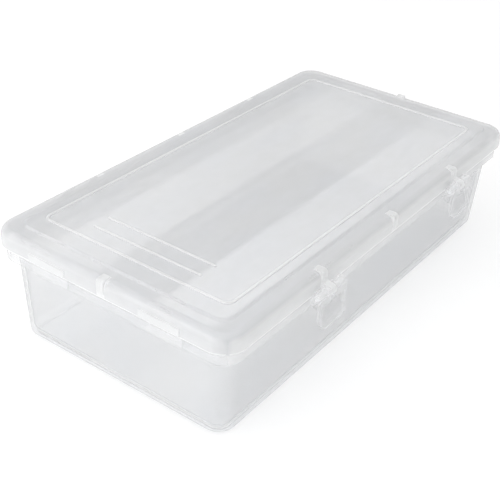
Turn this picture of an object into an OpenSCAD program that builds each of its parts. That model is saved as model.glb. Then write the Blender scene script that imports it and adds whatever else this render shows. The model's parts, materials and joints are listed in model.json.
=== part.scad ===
// Clear storage box for fishing tackle: a tapered tub, a hinged lid with a skirt, and two
// front latches that hang on the lid. X is the long way, the latches face -Y, Z is up and
// the origin is on the floor at the middle of the closed box.

/* [Box] */
// Length of the lid, over its skirt
lid_l = 270; // [220:5:320]
// Width of the lid, over its skirt
lid_w = 142; // [120:2:180]
// Height of the closed box
box_h = 63.6; // [56:0.2:90]
// Corner radius of the lid, seen from above
corner_r = 12; // [11:1:16]

/* [Lid] */
// Depth of the lid's skirt
skirt_h = 9.5; // [9:0.5:11]
// Thickness of the lid's skirt and panels
lid_t = 1.8; // [1.6:0.1:2.2]
// Height of the panel's step above the outer ledge
step_h = 1; // [0.6:0.1:1.2]
// Spacing of the steps and ribs on the lid, from the edge inward
rib_pitch = 10; // [8:1:12]
// Length of the short ribs near one end of the lid
rib_l = 65; // [40:5:80]
// Height of the ribs above the panel
rib_h = 0.6; // [0.4:0.1:1]
// How far the frame rib is inside the lid's long edges
frame_in = 16; // [15:1:20]
// Width of the narrow bosses round the lid's edge
boss_w = 4; // [3.6:0.2:6]

/* [Tub] */
// Thickness of the tub's walls and floor
tub_t = 1.8; // [1.6:0.1:2.2]
// How far the tub's wall is inside the lid's edge, at the foot
foot_in = 8; // [7.5:0.1:9]
// How far the tub's wall is inside the lid's edge, at the rim
rim_in = 4.6; // [4.4:0.1:5]
// Depth of the turned-down flange under the rim
flange_h = 6.8; // [6:0.1:8]

/* [Latches] */
// Distance of each latch from the middle of the box
latch_x = 65; // [45:5:90]
// Width of a latch
latch_w = 21; // [18:0.5:24]
// Height of a latch below its pin
latch_h = 16.5; // [14:0.5:18]

/* [Hinges] */
// Distance of each hinge from the middle of the box
hinge_x = 72; // [50:2:90]
// Length of each hinge
hinge_l = 46; // [36:1:56]
// Radius of the hinge pins
pin_r = 1.25; // [1:0.05:1.4]

/* [Hidden] */
$fn = 64;
// Half sizes of the lid
hx = lid_l / 2;
hy = lid_w / 2;
// Heights, from the floor
panel_z = box_h - rib_h;
ledge_z = panel_z - step_h;
skirt_z = ledge_z - skirt_h;
shelf_z = skirt_z - 0.3;
lip_z = shelf_z - flange_h;
rim_z = ledge_z - lid_t - 1.4;
foot_h = 1.2;
// The tub's wall follows a rounded rectangle this far inside the lid's edge
wall_in = 8;
wall_r = 9;
// The flange's outer face, inside the lid's edge
lip_in = 2;
// Rounding of the lid's top edge, and of the tub's bottom edge
edge_r = 4.5;
foot_r = 3;
// Hinge axis, barrel and gap between knuckles
barrel_r = 3.2;
hinge_y = hy + 4.3;
hinge_z = skirt_z - 4;
knuckles = 5;
knuckle_gap = 0.4;
knuckle_l = (hinge_l - (knuckles - 1) * knuckle_gap) / knuckles;
// A pin turns in a bore with this clearance, and is pressed in with this interference
run = 0.05;
press = 0.01;
// Latch axis, knuckle radius and pin
eye_r = 2.8;
eye_gap = 0.4;
latch_y = -hy - 0.5 - eye_r;
latch_z = skirt_z + 1;
latch_pin_r = 1.2;
tab_t = 1.8;
// The tab flares to reach as far forward as the hinges reach back, along an arc
tab_flare = hinge_y + barrel_r - (eye_r - latch_y);
flare_r = 14;
// How far the bosses reach in, and how far they stand off the skirt and above the ledge
boss_reach = 5;
boss_off = 0.5;
boss_rise = 0.3;
boss_r = 1.6;
// Grip pads on the short sides, measured from the middle
pad_from = 22;
pad_to = 45;
pad_off = 0.5;
gusset_t = 1.6;

// Points of an arc in the plane, from angle a0 to a1
function arc(cx, cy, r, a0, a1, n) =
    [for (i = [0:n]) [cx + r * cos(a0 + (a1 - a0) * i / n), cy + r * sin(a0 + (a1 - a0) * i / n)]];

// Sweeps a flat outline round a rounded rectangle: x is outward from it and y is height
module around(half_x, half_y, r) {
    for (side = [0, 180]) {
        rotate([0, 0, side]) translate([half_x, 0, 0]) rotate([90, 0, 0])
            linear_extrude(2 * (half_y - r), center = true) children();
        rotate([0, 0, side + 90]) translate([half_y, 0, 0]) rotate([90, 0, 0])
            linear_extrude(2 * (half_x - r), center = true) children();
        rotate([0, 0, side]) translate([half_x - r, half_y - r, 0])
            rotate_extrude(angle = 90) translate([r, 0]) children();
        rotate([0, 0, side]) translate([-half_x + r, half_y - r, 0])
            rotate([0, 0, 90]) rotate_extrude(angle = 90) translate([r, 0]) children();
    }
}

// A plate with round corners, its underside at height z
module plate(half_x, half_y, r, z, h) {
    translate([0, 0, z]) {
        translate([-half_x, -half_y + r, 0]) cube([2 * half_x, 2 * (half_y - r), h]);
        translate([-half_x + r, -half_y, 0]) cube([2 * (half_x - r), 2 * half_y, h]);
        for (sx = [-1, 1], sy = [-1, 1])
            translate([sx * (half_x - r), sy * (half_y - r), 0]) cylinder(r = r, h = h);
    }
}

// Extrudes an outline drawn as [y, z] along X, centred on x
module along_x(x, w) {
    translate([x - w / 2, 0, 0]) rotate([90, 0, 90]) linear_extrude(w) children();
}

// A rod along X, centred on x
module rod(x, y, z, r, w) {
    translate([x - w / 2, y, z]) rotate([0, 90, 0]) cylinder(r = r, h = w);
}

// Middle of knuckle i of a hinge centred on x
function knuckle_x(x, i) = x - hinge_l / 2 + knuckle_l / 2 + i * (knuckle_l + knuckle_gap);

// ---------------------------------------------------------------- tub

// The wall from the foot to the rim, with a rounded bottom edge
module tub_wall() {
    foot_x = wall_in - foot_in;
    rim_x = wall_in - rim_in;
    outline = concat(
        arc(foot_x - foot_r, foot_h + foot_r, foot_r, -90, 0, 5),
        [[rim_x, rim_z - 0.6], [rim_x - 0.6, rim_z], [rim_x - tub_t, rim_z],
         [foot_x - tub_t, foot_h + foot_r], [foot_x - foot_r - 1, foot_h + tub_t],
         [foot_x - foot_r - 1, foot_h]]);
    around(hx - wall_in, hy - wall_in, wall_r) polygon(outline);
}

// The flat floor and the low foot ring under it
module tub_floor() {
    in = foot_in + foot_r;
    plate(hx - in, hy - in, wall_r - 3, foot_h, tub_t);
    around(hx - in - 1, hy - in - 1, wall_r - 4) translate([-1.2, 0]) square([2.2, foot_h + 0.5]);
}

// The shelf under the lid's skirt, and the flange that turns down from its edge
module tub_flange() {
    difference() {
        plate(hx - lip_in, hy - lip_in, corner_r - lip_in, shelf_z - tub_t, tub_t);
        plate(hx - rim_in - 0.8, hy - rim_in - 0.8, wall_r + 2, shelf_z - tub_t - 1, tub_t + 2);
    }
    around(hx - lip_in, hy - lip_in, corner_r - lip_in)
        translate([-1.4, lip_z]) square([1.4, flange_h - 0.2]);
}

// Gussets between the wall and the flange: one at each end of every grip pad, and a row
// along each long side
module tub_gussets() {
    depth = rim_in - lip_in + 1;
    for (sx = [-1, 1], sy = [-1, 1], y = [pad_from, pad_to])
        translate([sx * (hx - lip_in - 0.7 - depth / 2), sy * y, lip_z + flange_h / 2])
            cube([depth, gusset_t, flange_h - 0.4], center = true);
    for (sy = [-1, 1], i = [-2:2])
        translate([i * lid_l / 6, sy * (hy - lip_in - 0.7 - depth / 2), lip_z + flange_h / 2])
            cube([gusset_t, depth, flange_h - 0.4], center = true);
}

// Slightly raised grip pads on the flange, on the short sides
module tub_pads() {
    for (sx = [-1, 1], sy = [-1, 1])
        translate([sx * (hx - lip_in), sy * (pad_from + pad_to) / 2, lip_z + flange_h / 2 - 0.1])
            cube([2 * pad_off + 0.6, pad_to - pad_from, flange_h - 0.6], center = true);
}

// The bead that each latch snaps under
module tub_catch(x) {
    y = -hy + lip_in;
    along_x(x, latch_w - 7)
        polygon([[y + 0.5, lip_z + 1.4], [y - 1.2, lip_z + 1.6], [y - 1.4, lip_z + 2.4],
                 [y - 0.2, lip_z + 4.6], [y + 0.5, lip_z + 4.8]]);
}

// The tub's knuckles of one hinge, on arms from the flange
module tub_knuckles(x) {
    for (i = [0:2:knuckles - 1]) {
        kx = knuckle_x(x, i);
        rod(kx, hinge_y, hinge_z, barrel_r, knuckle_l);
        along_x(kx, knuckle_l)
            polygon([[hy - lip_in - 0.7, hinge_z - barrel_r + 0.2], [hinge_y, hinge_z - barrel_r],
                     [hinge_y, hinge_z + barrel_r], [hy - lip_in - 0.7, hinge_z + barrel_r - 0.2]]);
    }
}

module tub() {
    color([0.90, 0.92, 0.93, 0.45])
    difference() {
        union() {
            tub_wall();
            tub_floor();
            tub_flange();
            tub_gussets();
            tub_pads();
            for (side = [-1, 1]) {
                tub_catch(side * latch_x);
                tub_knuckles(side * hinge_x);
            }
        }
        for (side = [-1, 1])
            rod(side * hinge_x, hinge_y, hinge_z, pin_r - press, hinge_l + 2);
    }
}

// ---------------------------------------------------------------- lid

// The skirt, its rounded top edge and the outer ledge
module lid_rim() {
    outline = concat(
        [[-lid_t, skirt_z], [0, skirt_z]],
        arc(-edge_r, ledge_z - edge_r, edge_r, 0, 90, 6),
        [[-rib_pitch, ledge_z], [-rib_pitch, ledge_z - lid_t], [-lid_t - 1.6, ledge_z - lid_t],
         [-lid_t, ledge_z - lid_t - 1.6]]);
    around(hx, hy, corner_r) polygon(outline);
}

// The raised panel inside the ledge, with its sloping step
module lid_panel() {
    in = rib_pitch - 0.5;
    around(hx - in, hy - in, 6)
        polygon([[0.5, ledge_z - lid_t], [0.5, ledge_z], [-0.4, panel_z], [-4, panel_z],
                 [-4, panel_z - lid_t], [-1.5, ledge_z - lid_t]]);
    plate(hx - in - 4, hy - in - 4, 2, panel_z - lid_t, lid_t);
}

// A frame rib, at the second pitch on the short sides, and the short ribs near one end
module lid_ribs() {
    around(hx - 2 * rib_pitch, hy - frame_in, 4)
        polygon([[-0.8, panel_z - 0.2], [0.8, panel_z - 0.2], [0.5, box_h], [-0.5, box_h]]);
    for (i = [3, 4])
        translate([-hx + i * rib_pitch, 0, panel_z + rib_h / 2 - 0.1])
            cube([1.3, rib_l, rib_h + 0.2], center = true);
}

// Outline [out, z] of the top of a boss, out being outward from the lid's edge: it fills the
// rounding of the lid's edge
function boss_top() = concat(
    [[-boss_reach, ledge_z - 0.5], [-boss_reach, ledge_z + boss_rise]],
    arc(boss_off - boss_r, ledge_z + boss_rise - boss_r, boss_r, 90, 0, 4));

// A boss on the front edge at x, its outline ending in the points of foot
module front_boss(x, foot) {
    along_x(x, boss_w)
        polygon([for (p = concat(boss_top(), foot)) [-hy - p[0], p[1]]]);
}

// A plain boss on the front edge at x
module plain_boss(x) {
    front_boss(x, [[boss_off, skirt_z + 3], [-0.6, skirt_z + 2]]);
}

// A plain boss at the middle of the short side that faces sx
module end_boss(sx) {
    rotate([0, 0, sx * 90]) translate([0, -hx + hy, 0]) plain_boss(0);
}

// A boss that carries a latch: a web joins it to an eye in front of the skirt
module latch_boss(x) {
    out = -hy - latch_y;
    top = latch_z + eye_r;
    front_boss(x, [[boss_off, top + 1.5], [boss_off + 1.5, top], [out, top],
                   [out, latch_z - eye_r + 0.3], [-0.6, skirt_z]]);
    rod(x, latch_y, latch_z, eye_r, boss_w);
}

// Grip pads on the skirt, above those on the flange
module lid_pads() {
    h = skirt_h - edge_r - 1.6;
    for (sx = [-1, 1], sy = [-1, 1])
        translate([sx * hx, sy * (pad_from + pad_to) / 2, skirt_z + 0.3 + h / 2])
            cube([2 * pad_off, pad_to - pad_from, h], center = true);
}

// The lid's knuckles of one hinge, on arms from the skirt
module lid_knuckles(x) {
    for (i = [1:2:knuckles - 1]) {
        kx = knuckle_x(x, i);
        rod(kx, hinge_y, hinge_z, barrel_r, knuckle_l);
        along_x(kx, knuckle_l)
            polygon([[hy - 0.8, skirt_z], [hy - 0.8, skirt_z + 6], [hy + 0.6, skirt_z + 6],
                     [hinge_y + 2.9, hinge_z + 1.3], [hinge_y, hinge_z],
                     [hinge_y - 3.15, hinge_z - 0.4]]);
    }
}

module lid() {
    color([0.93, 0.94, 0.95, 0.45])
    difference() {
        union() {
            lid_rim();
            lid_panel();
            lid_ribs();
            lid_pads();
            plain_boss(0);
            for (side = [-1, 1]) {
                end_boss(side);
                latch_boss(side * latch_x);
                lid_knuckles(side * hinge_x);
            }
        }
        for (side = [-1, 1]) {
            rod(side * hinge_x, hinge_y, hinge_z, pin_r + run, hinge_l + 2);
            rod(side * latch_x, latch_y, latch_z, latch_pin_r - press, boss_w + 2);
        }
    }
}

// ---------------------------------------------------------------- pins

module hinge_pin(x) {
    rod(x, hinge_y, hinge_z, pin_r, hinge_l);
}

module latch_pin(x) {
    rod(x, latch_y, latch_z, latch_pin_r, latch_w);
}

module hinge_pin_left() { color([0.85, 0.87, 0.88]) hinge_pin(-hinge_x); }
module hinge_pin_right() { color([0.85, 0.87, 0.88]) hinge_pin(hinge_x); }
module latch_pin_left() { color([0.85, 0.87, 0.88]) latch_pin(-latch_x); }
module latch_pin_right() { color([0.85, 0.87, 0.88]) latch_pin(latch_x); }

// ---------------------------------------------------------------- latches

// Side view of the tab, as [y, z] from the pin: it flares outward at its foot
function tab_outline() = concat(
    [[-eye_r, 0]],
    arc(-eye_r - flare_r, -latch_h + 8, flare_r, 0, -acos(1 - tab_flare / flare_r), 5),
    [[-eye_r - tab_flare + 0.4, -latch_h], [-eye_r - tab_flare + tab_t, -latch_h]],
    [[-eye_r - 0.3 + tab_t, -latch_h + 4.5], [-eye_r + tab_t, -latch_h + 8], [-eye_r + tab_t, 0]]);

// Front view of the tab, with round lower corners and a gap for the lid's boss
module tab_front(x) {
    low_r = 4.5;
    difference() {
        union() {
            translate([x - latch_w / 2 + low_r, -latch_h]) square([latch_w - 2 * low_r, latch_h]);
            translate([x - latch_w / 2, -latch_h + low_r]) square([latch_w, latch_h - low_r]);
            for (side = [-1, 1])
                translate([x + side * (latch_w / 2 - low_r), -latch_h + low_r]) circle(r = low_r);
        }
        translate([x - boss_w / 2 - eye_gap, -eye_r - 1.2])
            square([boss_w + 2 * eye_gap, eye_r + 2]);
    }
}

// The inner nib that snaps under the bead on the tub's flange
module nib(x) {
    root = -eye_r + 0.6;
    tip = -hy + lip_in - 1.7 - latch_y;
    top = lip_z + 1.1 - latch_z;
    translate([0, latch_y, latch_z]) along_x(x, latch_w - 7)
        polygon([[root, top + 0.4], [tip - 0.3, top], [tip, top - 0.4], [tip, top - 1],
                 [root, top - 2.6]]);
}

module latch(x) {
    ear_w = (latch_w - boss_w) / 2 - eye_gap;
    color([0.95, 0.96, 0.97, 0.55])
    difference() {
        union() {
            intersection() {
                translate([0, latch_y, latch_z]) along_x(x, latch_w) polygon(tab_outline());
                translate([0, latch_y + 10, latch_z]) rotate([90, 0, 0])
                    linear_extrude(20) tab_front(x);
            }
            for (side = [-1, 1])
                rod(x + side * (latch_w - ear_w) / 2, latch_y, latch_z, eye_r, ear_w);
            nib(x);
        }
        rod(x, latch_y, latch_z, latch_pin_r + run, latch_w + 2);
    }
}

module latch_left() { latch(-latch_x); }
module latch_right() { latch(latch_x); }

tub();
lid();
hinge_pin_left();
hinge_pin_right();
latch_left();
latch_right();
latch_pin_left();
latch_pin_right();
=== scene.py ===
"""Clear fishing tackle box: moulded tub, hinged lid, two snap latches and their pins."""

import json
from math import acos, atan2, cos, pi, radians, sin, tan

import bmesh
import bpy
from mathutils import Matrix, Vector


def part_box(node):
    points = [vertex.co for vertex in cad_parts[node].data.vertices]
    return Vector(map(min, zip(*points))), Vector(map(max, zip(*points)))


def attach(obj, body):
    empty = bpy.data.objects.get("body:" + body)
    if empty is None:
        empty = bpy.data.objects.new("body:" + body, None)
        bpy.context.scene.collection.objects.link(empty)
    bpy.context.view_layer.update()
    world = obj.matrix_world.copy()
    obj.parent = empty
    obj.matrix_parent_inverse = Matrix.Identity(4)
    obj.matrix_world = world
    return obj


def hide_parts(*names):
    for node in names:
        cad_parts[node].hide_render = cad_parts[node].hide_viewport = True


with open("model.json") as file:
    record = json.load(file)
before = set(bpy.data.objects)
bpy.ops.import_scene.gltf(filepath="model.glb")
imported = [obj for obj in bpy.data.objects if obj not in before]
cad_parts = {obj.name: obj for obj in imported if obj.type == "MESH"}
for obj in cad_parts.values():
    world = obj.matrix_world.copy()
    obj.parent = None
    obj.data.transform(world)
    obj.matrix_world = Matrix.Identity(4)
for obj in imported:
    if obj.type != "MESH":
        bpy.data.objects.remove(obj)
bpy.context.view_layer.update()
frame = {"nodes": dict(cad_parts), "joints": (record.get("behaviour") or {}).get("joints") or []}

MM = 0.001

# ---------------------------------------------------------------- sizes, in millimetres

# Top of the box, and half sizes of the lid, without its bosses
lid_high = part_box("lid")[1]
BOSS_OFF = 0.5
TOP = round(lid_high[2] / MM, 3)
HX = lid_high[0] / MM - BOSS_OFF
HY = 71.0

# Lid: an inset is measured from the lid's edge inward
CORNER_R = 12.0
EDGE_R = 4.5
WALL_T = 1.8
SKIRT_H = 9.5
STEP_H = 1.0
PITCH = 10.0
PANEL_IN = 24.0
RIB_H = 0.6
RIB_L = 65.0
FRAME_IN = 16.0
FRAME_R = 4.0
PANEL_Z = TOP - RIB_H
LEDGE_Z = PANEL_Z - STEP_H
SKIRT_Z = LEDGE_Z - SKIRT_H

# Bosses and grip pads, the pads measured from the middle of a short side
BOSS_W = 4.0
BOSS_REACH = 5.0
BOSS_RISE = 0.3
BOSS_R = 1.6
PAD_FROM = 22.0
PAD_TO = 45.0
PAD_OFF = 0.5

# Tub
WALL_R = 17.0
FOOT_H = 1.2
FOOT_IN = 8.0
FOOT_R = 3.0
RING_IN = 11.0
RING_W = 2.2
RIM_IN = 4.6
LIP_IN = 2.0
FLANGE_T = 1.4
FLANGE_H = 6.8
GUSSET_T = 1.6
FLANGE_PAD_OFF = 0.7
SHELF_Z = SKIRT_Z - 0.3
LIP_Z = SHELF_Z - FLANGE_H
RIM_Z = LEDGE_Z - WALL_T - 1.4

# Hinges
HINGE_L = 46.0
BARREL_R = 3.2
KNUCKLES = 5
KNUCKLE_GAP = 0.4
KNUCKLE_L = (HINGE_L - (KNUCKLES - 1) * KNUCKLE_GAP) / KNUCKLES
HINGE_X = 72.0
PIN_R = 1.25

# Latches
LATCH_X = 65.0
LATCH_W = 21.0
LATCH_H = 16.5
EYE_R = 2.8
LATCH_PIN_R = 1.2

# Clearance of a bore that a pin turns in, and the gap that keeps two faces from coinciding
RUN = 0.05
SEAM = 0.02

hinges = {j["name"]: j for j in frame["joints"]}
HINGE_Y, HINGE_Z = (hinges["lid_hinge"]["pos_m"][i] / MM for i in (1, 2))
LATCH_Y, LATCH_Z = (hinges["latch_left_hinge"]["pos_m"][i] / MM for i in (1, 2))

CORNER_STEPS = 14

# ---------------------------------------------------------------- mesh helpers


def finish_mesh(bm, name):
    """Makes an object from bm, in millimetres, with its faces turned outward."""
    bmesh.ops.recalc_face_normals(bm, faces=bm.faces)
    bmesh.ops.scale(bm, vec=(MM, MM, MM), verts=bm.verts)
    mesh = bpy.data.meshes.new(name)
    bm.to_mesh(mesh)
    bm.free()
    piece = bpy.data.objects.new(name, mesh)
    bpy.context.scene.collection.objects.link(piece)
    return piece


def arc(cx, cy, r, a0, a1, n):
    """Points of a flat arc, angles in degrees."""
    turn = [radians(a0 + (a1 - a0) * i / n) for i in range(n + 1)]
    return [(cx + r * cos(a), cy + r * sin(a)) for a in turn]


def fillet(before, corner, after, r, n=4):
    """Points of an arc of radius r that rounds a flat corner, shortened where it wouldn't fit."""
    c = Vector(corner[:2])
    u = Vector(before[:2]) - c
    v = Vector(after[:2]) - c
    reach_u, reach_v = u.length, v.length
    u.normalize()
    v.normalize()
    half = acos(max(-1, min(1, u.dot(v)))) / 2
    if half < 0.01 or half > pi / 2 - 0.02:
        return [tuple(c)]
    back = min(r / tan(half), 0.48 * reach_u, 0.48 * reach_v)
    r = back * tan(half)
    middle = c + (u + v).normalized() * (r / sin(half))
    start, end = c + u * back - middle, c + v * back - middle
    a0 = atan2(start.y, start.x)
    sweep = (atan2(end.y, end.x) - a0 + pi) % (2 * pi) - pi
    turn = [a0 + sweep * i / n for i in range(n + 1)]
    return [(middle.x + r * cos(a), middle.y + r * sin(a)) for a in turn]


def rounded(outline, closed=True, n=4):
    """An outline of (x, y, radius) corners as points, each corner rounded. A corner may carry
    more values after its radius, which its points keep."""
    points = []
    last = len(outline) - 1
    for i, corner in enumerate(outline):
        ends = not closed and i in (0, last)
        if ends or corner[2] <= 0:
            turned = [corner[:2]]
        else:
            turned = fillet(outline[i - 1], corner, outline[(i + 1) % len(outline)], corner[2], n)
        points += [tuple(p) + tuple(corner[3:]) for p in turned]
    return points


def plan_ring(inset, z, r, half_x=HX, half_y=HY):
    """A rounded rectangle at height z, inset from the lid's edge or from the half sizes given."""
    hx, hy = half_x - inset, half_y - inset
    r = max(0.4, r)
    centres = ((hx - r, hy - r, 0), (r - hx, hy - r, 90), (r - hx, r - hy, 180), (hx - r, r - hy, 270))
    ring = []
    for cx, cy, a0 in centres:
        ring += [(x, y, z) for x, y in arc(cx, cy, r, a0, a0 + 90, CORNER_STEPS)]
    return ring


def sweep(bm, profile, *half_sizes, looped=False):
    """Adds faces to bm swept round the box along profile, a list of (inset, z, plan radius),
    and returns its rings of points."""
    rings = [[bm.verts.new(p) for p in plan_ring(*row, *half_sizes)] for row in profile]
    count = len(rings[0])
    for a, b in zip(rings, rings[1:] + rings[:1] if looped else rings[1:]):
        for i in range(count):
            k = (i + 1) % count
            bm.faces.new((a[i], a[k], b[k], b[i]))
    return rings


def shell(name, profile):
    """A closed shell: its profile runs from the middle of the top to that of the underside."""
    bm = bmesh.new()
    rings = sweep(bm, profile)
    bm.faces.new(rings[0])
    bm.faces.new(rings[-1])
    return finish_mesh(bm, name)


def prism(bm, outline, lift, soften=0.0, ends_only=False):
    """Adds a prism to bm: lift(u, v, side) places an outline point on side 0 or 1. Its end
    edges, or every edge, are softened."""
    near = [bm.verts.new(lift(u, v, 0)) for u, v in outline]
    far = [bm.verts.new(lift(u, v, 1)) for u, v in outline]
    count = len(outline)
    made = [bm.faces.new(near), bm.faces.new(far[::-1])]
    for i in range(count):
        k = (i + 1) % count
        made.append(bm.faces.new((near[k], near[i], far[i], far[k])))
    if soften:
        caps = {e for f in made[:2] for e in f.edges}
        edges = caps if ends_only else {e for f in made for e in f.edges}
        bmesh.ops.bevel(bm, geom=list(edges), offset=soften, segments=3, profile=0.5,
                        affect="EDGES", clamp_overlap=True)


def along_x(x, w):
    """Lifts (y, z) outlines into a prism of width w centred on x."""
    return lambda u, v, side: (x + (side - 0.5) * w, u, v)


def along_y(y, w):
    """Lifts (x, z) outlines into a prism of width w centred on y."""
    return lambda u, v, side: (u, y + (side - 0.5) * w, v)


def block(bm, low, high, soften=0.25):
    """Adds a box with soft edges to bm."""
    outline = [(low[1], low[2]), (high[1], low[2]), (high[1], high[2]), (low[1], high[2])]
    prism(bm, outline, along_x((low[0] + high[0]) / 2, high[0] - low[0]), soften)


def barrel(bm, x, y, z, r, w, soften=0.3, steps=40):
    """Adds a rod along X with soft end edges to bm."""
    prism(bm, arc(y, z, r, 0, 360 - 360 / steps, steps - 1), along_x(x, w), soften, ends_only=True)


def combine(piece, other, how):
    """Joins other to piece, or cuts it out, and removes other."""
    mod = piece.modifiers.new("cut", "BOOLEAN")
    mod.operation = how
    mod.solver = "EXACT"
    mod.object = other
    depsgraph = bpy.context.evaluated_depsgraph_get()
    made = bpy.data.meshes.new_from_object(piece.evaluated_get(depsgraph))
    piece.modifiers.clear()
    spent = piece.data
    piece.data = made
    made.name = piece.name
    bpy.data.meshes.remove(spent)
    bpy.data.objects.remove(other)


def clean(piece, sharp=32):
    """Welds specks, shades smooth, keeps real corners sharp and lets flat faces stay flat."""
    bm = bmesh.new()
    bm.from_mesh(piece.data)
    bmesh.ops.remove_doubles(bm, verts=bm.verts, dist=0.00001)
    bmesh.ops.dissolve_degenerate(bm, dist=0.00001, edges=bm.edges)
    for face in bm.faces:
        face.smooth = True
    for edge in bm.edges:
        edge.smooth = len(edge.link_faces) != 2 or edge.calc_face_angle(0) < radians(sharp)
    bm.to_mesh(piece.data)
    bm.free()
    mod = piece.modifiers.new("flat faces", "WEIGHTED_NORMAL")
    mod.keep_sharp = True
    mod.weight = 50


# ---------------------------------------------------------------- outlines shared by pieces


def lid_r(inset):
    """Corner radius of the lid's rings, seen from above."""
    if inset < 6:
        return CORNER_R - inset
    return max(2.5, 7 - (inset - 6) * 0.21)


def knuckle_x(x, i):
    """Middle of knuckle i of the hinge that is centred on x."""
    return x - HINGE_L / 2 + KNUCKLE_L / 2 + i * (KNUCKLE_L + KNUCKLE_GAP)


def boss_outline(foot):
    """Outline (out, z) of a boss, out being outward from the lid's edge: it fills the rounding
    of the edge and ends in the corners of foot."""
    top = LEDGE_Z + BOSS_RISE
    return rounded([(-BOSS_REACH, LEDGE_Z - 0.6, 0), (-BOSS_REACH, top, 0.25),
                    (BOSS_OFF, top, BOSS_R)] + foot, n=6)


# ---------------------------------------------------------------- tub


def tub_shell():
    """Floor, foot ring, walls, shelf, flange and rim as one filleted shell."""
    floor_z, under, draft = FOOT_H + WALL_T, SHELF_Z - WALL_T, 0.1
    ring_out, ring_in = RING_IN, RING_IN + RING_W
    w, c = WALL_R, CORNER_R
    outline = [
        (15.0, FOOT_H, 0, w), (ring_in + draft, FOOT_H, 0.4, w), (ring_in - draft, 0, 0.4, w),
        (ring_out + draft, 0, 0.4, w), (ring_out - draft, FOOT_H, 0.4, w), (FOOT_IN, FOOT_H, FOOT_R, w),
        (RIM_IN + 0.5, under, 0.6, w), (LIP_IN + FLANGE_T, under, 0.4, c),
        (LIP_IN + FLANGE_T, LIP_Z, 0.5, c), (LIP_IN, LIP_Z, 0.6, c), (LIP_IN, SHELF_Z, 0.7, c),
        (RIM_IN + 0.3, SHELF_Z, 0.6, w), (RIM_IN, RIM_Z, 0.8, w), (RIM_IN + WALL_T, RIM_Z, 0.7, w),
        (FOOT_IN + WALL_T, floor_z, 2.4, w), (15.5, floor_z, 0, w),
    ]
    points = rounded(outline, closed=False, n=5)
    return shell("tub_shell", [(s, z, base - s) for s, z, base in points])


def tub_details():
    """Gussets, grip pads, latch beads and hinge arms."""
    bm = bmesh.new()
    deep, half = (RIM_IN - LIP_IN + 1) / 2, GUSSET_T / 2
    mid = LIP_IN + FLANGE_T / 2 + deep
    low, high = LIP_Z + 0.4, SHELF_Z - 0.6
    for sx in (-1, 1):
        for y in (-PAD_TO, -PAD_FROM, PAD_FROM, PAD_TO):
            x = sx * (HX - mid)
            block(bm, (x - deep, y - half, low), (x + deep, y + half, high), 0.2)
        for sy in (-1, 1):
            x = sx * (HX - LIP_IN)
            ends = sorted((sy * PAD_FROM, sy * PAD_TO))
            block(bm, (x - FLANGE_PAD_OFF, ends[0], LIP_Z + 0.5),
                  (x + FLANGE_PAD_OFF, ends[1], SHELF_Z - 0.5), 0.45)
    for sy in (-1, 1):
        for i in range(-2, 3):
            x, y = i * HX / 3, sy * (HY - mid)
            block(bm, (x - half, y - deep, low), (x + half, y + deep, high), 0.2)
    y = LIP_IN - HY
    bead = [(y + 0.5, LIP_Z + 1.3), (y - 1.0, LIP_Z + 1.6), (y - 1.35, LIP_Z + 2.0),
            (y - 1.25, LIP_Z + 2.7), (y - 0.2, LIP_Z + 4.5), (y + 0.5, LIP_Z + 4.8)]
    root = HY - LIP_IN - FLANGE_T / 2
    arm = [(root, HINGE_Z - BARREL_R + 0.3), (HINGE_Y, HINGE_Z - BARREL_R + SEAM),
           (HINGE_Y, HINGE_Z + BARREL_R - SEAM), (root, HINGE_Z + BARREL_R - 0.3)]
    for side in (-1, 1):
        prism(bm, bead, along_x(side * LATCH_X, LATCH_W - 7), 0.3, ends_only=True)
        for i in range(0, KNUCKLES, 2):
            x = knuckle_x(side * HINGE_X, i)
            prism(bm, arm, along_x(x, KNUCKLE_L - 0.3), 0.12, ends_only=True)
    return finish_mesh(bm, "tub_details")


def hinge_barrels(first):
    """Every second knuckle of both hinges, from knuckle first on."""
    bm = bmesh.new()
    for side in (-1, 1):
        for i in range(first, KNUCKLES, 2):
            x = knuckle_x(side * HINGE_X, i)
            barrel(bm, x, HINGE_Y, HINGE_Z, BARREL_R, KNUCKLE_L)
    return finish_mesh(bm, "barrels")


def bores(places, y, z, r, w):
    """Rods that cut the bores for pins."""
    bm = bmesh.new()
    for x in places:
        barrel(bm, x, y, z, r, w, 0)
    return finish_mesh(bm, "bores")


def make_tub():
    tub = tub_shell()
    combine(tub, tub_details(), "UNION")
    combine(tub, hinge_barrels(0), "UNION")
    combine(tub, bores((-HINGE_X, HINGE_X), HINGE_Y, HINGE_Z, PIN_R + SEAM, HINGE_L + 4), "DIFFERENCE")
    clean(tub)
    tub.name = "moulded_tub"
    return tub


# ---------------------------------------------------------------- lid


def lid_shell():
    """Panel with its step, ledge, rounded edge and skirt as one filleted shell."""
    under = LEDGE_Z - WALL_T
    outline = [
        (PANEL_IN, PANEL_Z, 0), (PITCH + 0.1, PANEL_Z, 0.8), (PITCH - 0.9, LEDGE_Z, 0.8),
        (0, LEDGE_Z, EDGE_R), (0.05, SKIRT_Z, 0.5), (WALL_T, SKIRT_Z, 0.4), (WALL_T, under, 2.4),
        (PITCH + 0.6, under, 0.5), (PITCH + 1.8, PANEL_Z - WALL_T, 0.5),
        (PANEL_IN, PANEL_Z - WALL_T, 0),
    ]
    points = rounded(outline, closed=False, n=6)
    return shell("lid_shell", [(s, z, lid_r(s)) for s, z in points])


def frame_rib():
    """The low rib that frames the panel."""
    bm = bmesh.new()
    outline = [(1.0, PANEL_Z - 0.3, 0), (0.55, TOP, 0.25), (-0.55, TOP, 0.25), (-1.0, PANEL_Z - 0.3, 0)]
    ring = [(s, z, FRAME_R - s) for s, z in rounded(outline)]
    sweep(bm, ring, HX - 2 * PITCH, HY - FRAME_IN, looped=True)
    return finish_mesh(bm, "frame_rib")


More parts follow.
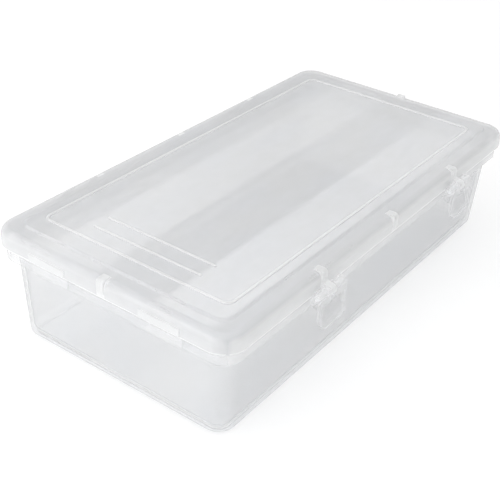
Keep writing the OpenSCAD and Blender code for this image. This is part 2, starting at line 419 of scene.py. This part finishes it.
def lid_details():
    """Short ribs, bosses, grip pads, latch bosses and hinge arms."""
    bm = bmesh.new()
    for i in (3, 4):
        x = i * PITCH - HX
        rib = [(x - 0.85, PANEL_Z - 0.4), (x + 0.85, PANEL_Z - 0.4), (x + 0.5, TOP), (x - 0.5, TOP)]
        prism(bm, rib, along_y(0, RIB_L), 0.3)
    plain = boss_outline([(BOSS_OFF, SKIRT_Z + 3, 0.6), (-0.6, SKIRT_Z + 1.9, 0)])
    prism(bm, [(-HY - s, z) for s, z in plain], along_x(0, BOSS_W), 0.3, ends_only=True)
    for sx in (-1, 1):
        prism(bm, [(sx * (HX + s), z) for s, z in plain], along_y(0, BOSS_W), 0.3, ends_only=True)
        for sy in (-1, 1):
            ends = sorted((sy * PAD_FROM, sy * PAD_TO))
            pad = (sx * HX - PAD_OFF, ends[0], SKIRT_Z + 0.7)
            block(bm, pad, (sx * HX + PAD_OFF, ends[1], LEDGE_Z - EDGE_R - 0.2), 0.42)
    web, eye_top = -HY - LATCH_Y, LATCH_Z + EYE_R - SEAM
    hanger = boss_outline([(BOSS_OFF, eye_top + 0.6, 1.2), (web, eye_top, 0),
                           (web, LATCH_Z - EYE_R + 0.4, 0), (-0.6, SKIRT_Z + 0.3, 0)])
    arm = [(HY - 0.8, SKIRT_Z + 0.2), (HY - 0.8, SKIRT_Z + 6.2), (HY + 0.5, SKIRT_Z + 6),
           (HINGE_Y + 0.9, HINGE_Z + 4.6), (HINGE_Y + 2.7, HINGE_Z + 1.6), (HINGE_Y, HINGE_Z),
           (HINGE_Y - 3.1, HINGE_Z - 0.3)]
    for side in (-1, 1):
        prism(bm, [(-HY - s, z) for s, z in hanger], along_x(side * LATCH_X, BOSS_W - SEAM), 0.3,
              ends_only=True)
        for i in range(1, KNUCKLES, 2):
            x = knuckle_x(side * HINGE_X, i)
            prism(bm, arm, along_x(x, KNUCKLE_L - 0.3), 0.12, ends_only=True)
    return finish_mesh(bm, "lid_details")


def latch_eyes():
    """The eyes that hang from the lid's latch bosses."""
    bm = bmesh.new()
    for side in (-1, 1):
        barrel(bm, side * LATCH_X, LATCH_Y, LATCH_Z, EYE_R, BOSS_W, 0.35)
    return finish_mesh(bm, "eyes")


def make_lid():
    lid = lid_shell()
    combine(lid, frame_rib(), "UNION")
    combine(lid, lid_details(), "UNION")
    combine(lid, hinge_barrels(1), "UNION")
    combine(lid, latch_eyes(), "UNION")
    places = (-HINGE_X, HINGE_X)
    combine(lid, bores(places, HINGE_Y, HINGE_Z, PIN_R + RUN, HINGE_L + 4), "DIFFERENCE")
    places = (-LATCH_X, LATCH_X)
    combine(lid, bores(places, LATCH_Y, LATCH_Z, LATCH_PIN_R + SEAM, BOSS_W + 4), "DIFFERENCE")
    clean(lid)
    lid.name = "moulded_lid"
    return lid


tub = make_tub()
lid = make_lid()
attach(tub, "tub")
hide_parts("tub")
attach(lid, "lid")
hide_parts("lid")

# ---------------------------------------------------------------- materials


class Graph:
    """A material's nodes, made and linked by short calls."""

    def __init__(self, name):
        self.material = bpy.data.materials.new(name)
        self.material.use_nodes = True
        self.tree = self.material.node_tree
        self.tree.nodes.clear()
        self.place = self.add("ShaderNodeTexCoord").outputs["Object"]
        self.axes = self.add("ShaderNodeSeparateXYZ", {"Vector": self.place}).outputs

    def add(self, kind, links=(), **values):
        made = self.tree.nodes.new(kind)
        for key, value in values.items():
            setattr(made, key, value)
        for socket, value in dict(links).items():
            target = made.inputs[socket]
            if isinstance(value, bpy.types.NodeSocket):
                self.tree.links.new(value, target)
            else:
                target.default_value = value
        return made

    def noise(self, scale, detail=2.0, stretch=(1, 1, 1)):
        """Noise of so many cells a metre, stretched along the axes."""
        turned = self.add("ShaderNodeMapping", {"Vector": self.place, "Scale": stretch})
        links = {"Vector": turned.outputs[0], "Scale": scale, "Detail": detail}
        made = self.add("ShaderNodeTexNoise", links)
        return made.outputs["Fac"]

    def remap(self, value, low, high, to_low, to_high):
        links = {"Value": value, "From Min": low, "From Max": high, "To Min": to_low, "To Max": to_high}
        return self.add("ShaderNodeMapRange", links).outputs["Result"]

    def math(self, how, a, b):
        """Node for a sum of two values, such as ADD."""
        return self.add("ShaderNodeMath", {0: a, 1: b}, operation=how).outputs[0]

    def blend(self, share, a, b):
        """Colour a, turning to b as share goes from 0 to 1."""
        made = self.add("ShaderNodeMix", data_type="RGBA")
        for socket, value in zip((made.inputs[0], made.inputs[6], made.inputs[7]), (share, a, b)):
            if isinstance(value, bpy.types.NodeSocket):
                self.tree.links.new(value, socket)
            else:
                socket.default_value = value if isinstance(value, float) else (*value, 1)
        return made.outputs[2]


# Share of light that the plastic mirrors face on and at a grazing view
FACE_ON = 0.045
GRAZING = 0.3
# Extra tint where a face is seen edge on, through more plastic
EDGE_ON = 0.72
# What each face lets through on the way to a lamp
LAMP_TINT = (0.975, 0.976, 0.977)
# The zones are hazier and paler than the walls: on the lid's skirt and the tub's flange this is painted
# light, on the lid's bottom edge and the rib crests a painted highlight
PALE = (0.84, 0.843, 0.846)
PAD_HAZE = 0.03
# Painted light on the lid's skirt
SKIRT_PAINTED_LIGHT = 0.06
# Painted highlight along the lid's bottom edge
RIM_PAINTED_HIGHLIGHT = 0.25
# Painted reflection on the tub's flange band
FLANGE_PAINTED_LIGHT = 0.08
BOSS_HAZE = 0.1
# Painted highlight on the rib crests
RIB_PAINTED_HIGHLIGHT = 0.12
TAB_EDGE_HAZE = 0.14


def between(g, value, low, high, soft):
    """1 where value, in metres, lies from low to high, in millimetres, fading over soft."""
    rise = g.remap(value, (low - soft) * MM, (low + soft) * MM, 0, 1)
    fall = g.remap(value, (high - soft) * MM, (high + soft) * MM, 1, 0)
    return g.math("MULTIPLY", rise, fall)


def zone(g, x=None, y=None, z=None, soft=0.4):
    """1 in the boxes that have these ranges of |x|, |y| and z."""
    mask = 1.0
    for axis, limits in zip("XYZ", (x, y, z)):
        if limits:
            place = g.axes[axis] if axis == "Z" else g.math("ABSOLUTE", g.axes[axis], 0)
            mask = g.math("MULTIPLY", mask, between(g, place, *limits, soft))
    return mask


def pads(g):
    """The grip pads of the short sides, from the lid's skirt to the flange, made paler."""
    return zone(g, (HX - LIP_IN - 0.2, HX + 5), (PAD_FROM, PAD_TO), (LIP_Z, LEDGE_Z - EDGE_R), 0.8)


def flange(g):
    """Painted reflection: the stretch of the tub's long sides behind and above its flange, made paler for
    the light that band reflects.
    """
    return zone(g, y=(HY - RIM_IN - 2, HY + 1), z=(LIP_Z, RIM_Z + 1))


def lid_side(g, low, high, soft, short_share):
    """The lid's side from low to high, at short_share on the short sides."""
    long_side = zone(g, y=(HY - 3, HY + 1), z=(low, high), soft=soft)
    short_side = zone(g, x=(HX - 3, HX + 1), z=(low, high), soft=soft)
    return g.math("MAXIMUM", long_side, g.math("MULTIPLY", short_side, short_share))


def skirt(g):
    """Painted light: the lid's skirt below its rounded edge, made paler for the light it catches, less so
    on the short sides.
    """
    return lid_side(g, SKIRT_Z - 1, LEDGE_Z - 2, 0.8, 0.5)


def rim(g):
    """Painted highlight: the lid's bottom edge all round, made paler to stand in for the bright line its
    rounding mirrors.
    """
    return lid_side(g, SKIRT_Z - 1, SKIRT_Z + 0.8, 0.2, 1.0)


def bosses(g):
    """The bosses round the lid's edge."""
    half = BOSS_W / 2 + 0.3
    ends = zone(g, (HX - BOSS_REACH, HX + 2), (-1, half), soft=0.2)
    long_side = (HY - BOSS_REACH, HY + 8)
    middle = zone(g, (-1, half), long_side, soft=0.2)
    latches = zone(g, (LATCH_X - half, LATCH_X + half), long_side, soft=0.2)
    return g.math("MAXIMUM", ends, g.math("MAXIMUM", middle, latches))


def ribs(g):
    """Painted highlight: the crests of the ribs on the lid, made paler to stand in for the key light they
    mirror.
    """
    return zone(g, z=(PANEL_Z + 0.25, TOP + 1), soft=0.15)


def tab_edges(g):
    """The thick rim of a latch's tab, and its ears."""
    half = LATCH_W / 2 - 1.3
    height = (LATCH_Z - LATCH_H + 1.6, LATCH_Z - EYE_R - 1)
    inside = zone(g, (LATCH_X - half, LATCH_X + half), z=height, soft=0.3)
    return g.math("SUBTRACT", 1.0, inside)


def clear_plastic(name, tint, clear, haze, edge_haze, gloss_rough=0.03, zones=()):
    """Milky clear polypropylene: see-through face on, cloudier at a slant, with a mirror gloss.
    tint is the colour of its milk, clear what each face lets through, haze the share of milk
    and edge_haze what a slant adds to it. zones are the paler stretches, each with added haze."""
    g = Graph(name)
    facing = g.add("ShaderNodeLayerWeight", {"Blend": 0.5}).outputs["Facing"]
    flow = g.noise(22, 3, (1, 2.2, 1))
    specks = g.noise(420, 1)
    cloud = g.remap(flow, 0.3, 0.7, haze * 0.93, haze * 1.07)
    pale = 0.0
    # Each zone adds haze and turns the milk toward PALE; the skirt and flange zones are painted light, the
    # rim and rib zones painted highlights
    for mask, more in zones:
        spot = mask(g)
        cloud = g.math("ADD", cloud, g.math("MULTIPLY", spot, more))
        pale = g.math("MAXIMUM", pale, spot)
    slant = g.math("MULTIPLY", g.math("POWER", facing, 2.5), edge_haze)
    body_haze = g.math("MINIMUM", g.math("ADD", cloud, slant), 0.95)
    rough = g.remap(g.noise(60, 2), 0.3, 0.7, gloss_rough * 0.7, gloss_rough * 1.5)
    milk = g.blend(g.remap(flow, 0.3, 0.7, 0, 1), tint, (tint[0] * 0.97, tint[1] * 0.98, tint[2]))
    milk = g.blend(pale, milk, PALE)
    ripple = g.add("ShaderNodeBump", {"Strength": 0.03, "Distance": 0.0003, "Height": g.noise(20, 1)})
    grain = g.add("ShaderNodeBump", {"Strength": 0.012, "Distance": 0.00008, "Height": specks,
                                     "Normal": ripple.outputs[0]})
    body = g.add("ShaderNodeBsdfPrincipled", {"Base Color": milk, "Roughness": 0.55,
                                              "Normal": grain.outputs[0], "Specular IOR Level": 0.0})
    through = g.blend(g.math("POWER", facing, 3.0), clear, [c * EDGE_ON for c in clear])
    glass = g.add("ShaderNodeBsdfTransparent", {"Color": through})
    seen = g.add("ShaderNodeMixShader", {0: body_haze, 1: glass.outputs[0], 2: body.outputs[0]})
    shine = g.remap(g.math("POWER", facing, 5.0), 0.0, 1.0, FACE_ON, GRAZING)
    gloss = g.add("ShaderNodeBsdfGlossy", {"Color": (1, 1, 1, 1), "Roughness": rough,
                                           "Normal": grain.outputs[0]})
    surface = g.add("ShaderNodeMixShader", {0: shine, 1: seen.outputs[0], 2: gloss.outputs[0]})
    lamp_side = g.add("ShaderNodeBsdfTransparent", {"Color": (*LAMP_TINT, 1)})
    is_lamp = g.add("ShaderNodeLightPath").outputs["Is Shadow Ray"]
    lit = g.add("ShaderNodeMixShader", {0: is_lamp, 1: surface.outputs[0], 2: lamp_side.outputs[0]})
    g.add("ShaderNodeOutputMaterial", {"Surface": lit.outputs[0]})
    return g.material


def dress(piece, material):
    piece.data.materials.clear()
    piece.data.materials.append(material)


TUB_MILK, TUB_CLEAR = (0.76, 0.763, 0.767), (0.969, 0.97, 0.971)
LID_MILK, LID_CLEAR = (0.705, 0.708, 0.712), (0.93, 0.931, 0.932)
LATCH_MILK, LATCH_CLEAR = (0.74, 0.743, 0.747), (0.96, 0.961, 0.962)
PIN_MILK, PIN_CLEAR = (0.90, 0.905, 0.91), (0.985, 0.985, 0.985)

# The skirt and flange zones are painted light, the rim and rib zones painted highlights
tub_zones = ((pads, PAD_HAZE), (flange, FLANGE_PAINTED_LIGHT))
lid_zones = ((pads, PAD_HAZE), (skirt, SKIRT_PAINTED_LIGHT), (rim, RIM_PAINTED_HIGHLIGHT), (bosses, BOSS_HAZE), (ribs, RIB_PAINTED_HIGHLIGHT))
latch_zones = ((tab_edges, TAB_EDGE_HAZE),)
tub_look = clear_plastic("tub_clear", TUB_MILK, TUB_CLEAR, haze=0.20, edge_haze=0.2, zones=tub_zones)
lid_look = clear_plastic("lid_clear", LID_MILK, LID_CLEAR, haze=0.32, edge_haze=0.2, zones=lid_zones)
latch_look = clear_plastic("latch_clear", LATCH_MILK, LATCH_CLEAR, haze=0.08, edge_haze=0.3,
                           zones=latch_zones)
pin_look = clear_plastic("pin_natural", PIN_MILK, PIN_CLEAR, haze=0.30, edge_haze=0.2, gloss_rough=0.15)
dress(tub, tub_look)
dress(lid, lid_look)
for name, node in frame["nodes"].items():
    if name.startswith(("latch_pin", "hinge_pin")):
        dress(node, pin_look)
    elif name.startswith("latch"):
        dress(node, latch_look)

# ---------------------------------------------------------------- floor, light and camera

FLOOR_SIDE = 6.0
FLOOR_STEPS = 12
FLOOR_TONES = (0.93, 0.96)
# The studio's brightness, and its value toward the dim side, with where the change runs
SKY_GLOW = (0.95, 0.45)
DIM_SIDE = (0.5, 0.86, 0)
DIM_REACH = (0.45, 0.9)
# Height of the strip lights above the lid, and their brightness at the left and right ends
BAND_HEIGHT = 0.66
BAND_FADE = (0.2, 1.8)
# Place and size of the key light
KEY_PLACE = (-0.66, 0.58, 0.82)
KEY_SIZE = (0.42, 0.42)
# The camera's place, how it is turned and its lens
EYE = (-0.3844, -0.2514, 0.3018)
YAW, TILT, ROLL = radians(34.78), radians(-32.3), radians(-3.09)
LENS = 70.33


def make_floor():
    """A plain pale floor."""
    bm = bmesh.new()
    half = FLOOR_SIDE / 2 / MM
    bmesh.ops.create_grid(bm, x_segments=FLOOR_STEPS, y_segments=FLOOR_STEPS, size=half)
    floor = finish_mesh(bm, "floor")
    g = Graph("floor_white")
    tone = g.remap(g.noise(3, 1), 0.3, 0.7, *FLOOR_TONES)
    links = {"Base Color": tone, "Roughness": 0.8, "Specular IOR Level": 0.0}
    surface = g.add("ShaderNodeBsdfPrincipled", links)
    g.add("ShaderNodeOutputMaterial", {"Surface": surface.outputs[0]})
    dress(floor, g.material)


def soft_box(name, centre, size, glow, aim=(0, 0, 0), fade=None):
    """A rectangular lamp whose face is glow times as bright as a white wall in unit light.
    fade gives its brightness at one end and the other, as shares of glow."""
    light = bpy.data.lights.new(name, "AREA")
    light.shape = "RECTANGLE"
    light.size, light.size_y = size
    light.energy = glow * pi * size[0] * size[1]
    lamp = bpy.data.objects.new(name, light)
    lamp.location = centre
    lamp.rotation_euler = (Vector(centre) - Vector(aim)).to_track_quat("Z", "Y").to_euler()
    bpy.context.scene.collection.objects.link(lamp)
    if fade:
        light.use_nodes = True
        tree = light.node_tree
        place = tree.nodes.new("ShaderNodeNewGeometry").outputs["Parametric"]
        axes = tree.nodes.new("ShaderNodeSeparateXYZ")
        ramp = tree.nodes.new("ShaderNodeMapRange")
        ramp.inputs["To Min"].default_value, ramp.inputs["To Max"].default_value = fade
        tree.links.new(place, axes.inputs[0])
        tree.links.new(axes.outputs["X"], ramp.inputs["Value"])
        tree.links.new(ramp.outputs["Result"], tree.nodes["Emission"].inputs["Strength"])
    return lamp


def make_sky():
    """An even white studio, dimmer toward the horizon behind the box."""
    world = bpy.data.worlds.new("studio")
    bpy.context.scene.world = world
    world.use_nodes = True
    tree = world.node_tree
    sky = tree.nodes["Background"]
    sky.inputs["Color"].default_value = (1.0, 1.0, 1.0, 1)
    ahead = tree.nodes.new("ShaderNodeVectorMath")
    ahead.operation = "DOT_PRODUCT"
    ahead.inputs[1].default_value = DIM_SIDE
    dim = tree.nodes.new("ShaderNodeMapRange")
    for socket, value in zip(("From Min", "From Max", "To Min", "To Max"), (*DIM_REACH, *SKY_GLOW)):
        dim.inputs[socket].default_value = value
    place = tree.nodes.new("ShaderNodeTexCoord").outputs["Generated"]
    tree.links.new(place, ahead.inputs[0])
    tree.links.new(ahead.outputs["Value"], dim.inputs["Value"])
    tree.links.new(dim.outputs["Result"], sky.inputs["Strength"])


def band(name, near, far, glow):
    """A strip light above, which the lid mirrors to the camera from near to far, in millimetres
    from the lid's front edge."""
    eye = view.location
    grow = BAND_HEIGHT / (eye.z - TOP * MM)
    ends = [y + (y - eye.y) * grow for y in ((near - HY) * MM, (far - HY) * MM)]
    sides = [x + (x - eye.x) * grow for x in (-HX * MM, HX * MM)]
    middle = ((sides[0] + sides[1]) / 2, (ends[0] + ends[1]) / 2, TOP * MM + BAND_HEIGHT)
    size = (1.15 * (sides[1] - sides[0]), ends[1] - ends[0])
    soft_box(name, middle, size, glow, (middle[0], middle[1], 0), BAND_FADE)


def make_camera():
    """The camera, turned by YAW round the vertical from +X, then by TILT and ROLL."""
    forward = Vector((cos(TILT) * cos(YAW), cos(TILT) * sin(YAW), sin(TILT)))
    level = forward.cross(Vector((0, 0, 1))).normalized()
    below = forward.cross(level)
    right = level * cos(ROLL) + below * sin(ROLL)
    down = below * cos(ROLL) - level * sin(ROLL)
    camera = bpy.data.cameras.new("camera")
    camera.lens = LENS
    camera.sensor_width = 36
    camera.clip_start = 0.01
    made = bpy.data.objects.new("camera", camera)
    turn = Matrix((right, -down, -forward)).transposed()
    made.matrix_world = Matrix.Translation(EYE) @ turn.to_4x4()
    bpy.context.scene.collection.objects.link(made)
    bpy.context.scene.camera = made
    return made


make_floor()
make_sky()
view = make_camera()
scene = bpy.context.scene
scene.view_settings.view_transform = "Standard"
scene.view_settings.exposure = 0.0
scene.cycles.transparent_max_bounces = 32
scene.cycles.max_bounces = 10

# Most of the key light is left out of mirrored highlights, which glint_box makes
soft_box("key_box", KEY_PLACE, KEY_SIZE, 4.8).visible_glossy = False
soft_box("glint_box", KEY_PLACE, KEY_SIZE, 2.4)
soft_box("left_box", (-1.0, 0.15, 0.4), (0.9, 0.5), 1.18)
band("front_band", 10, 40, 1.15)
band("edge_line", 12, 17, 2.2)
band("back_band", 75, 107, 0.8)
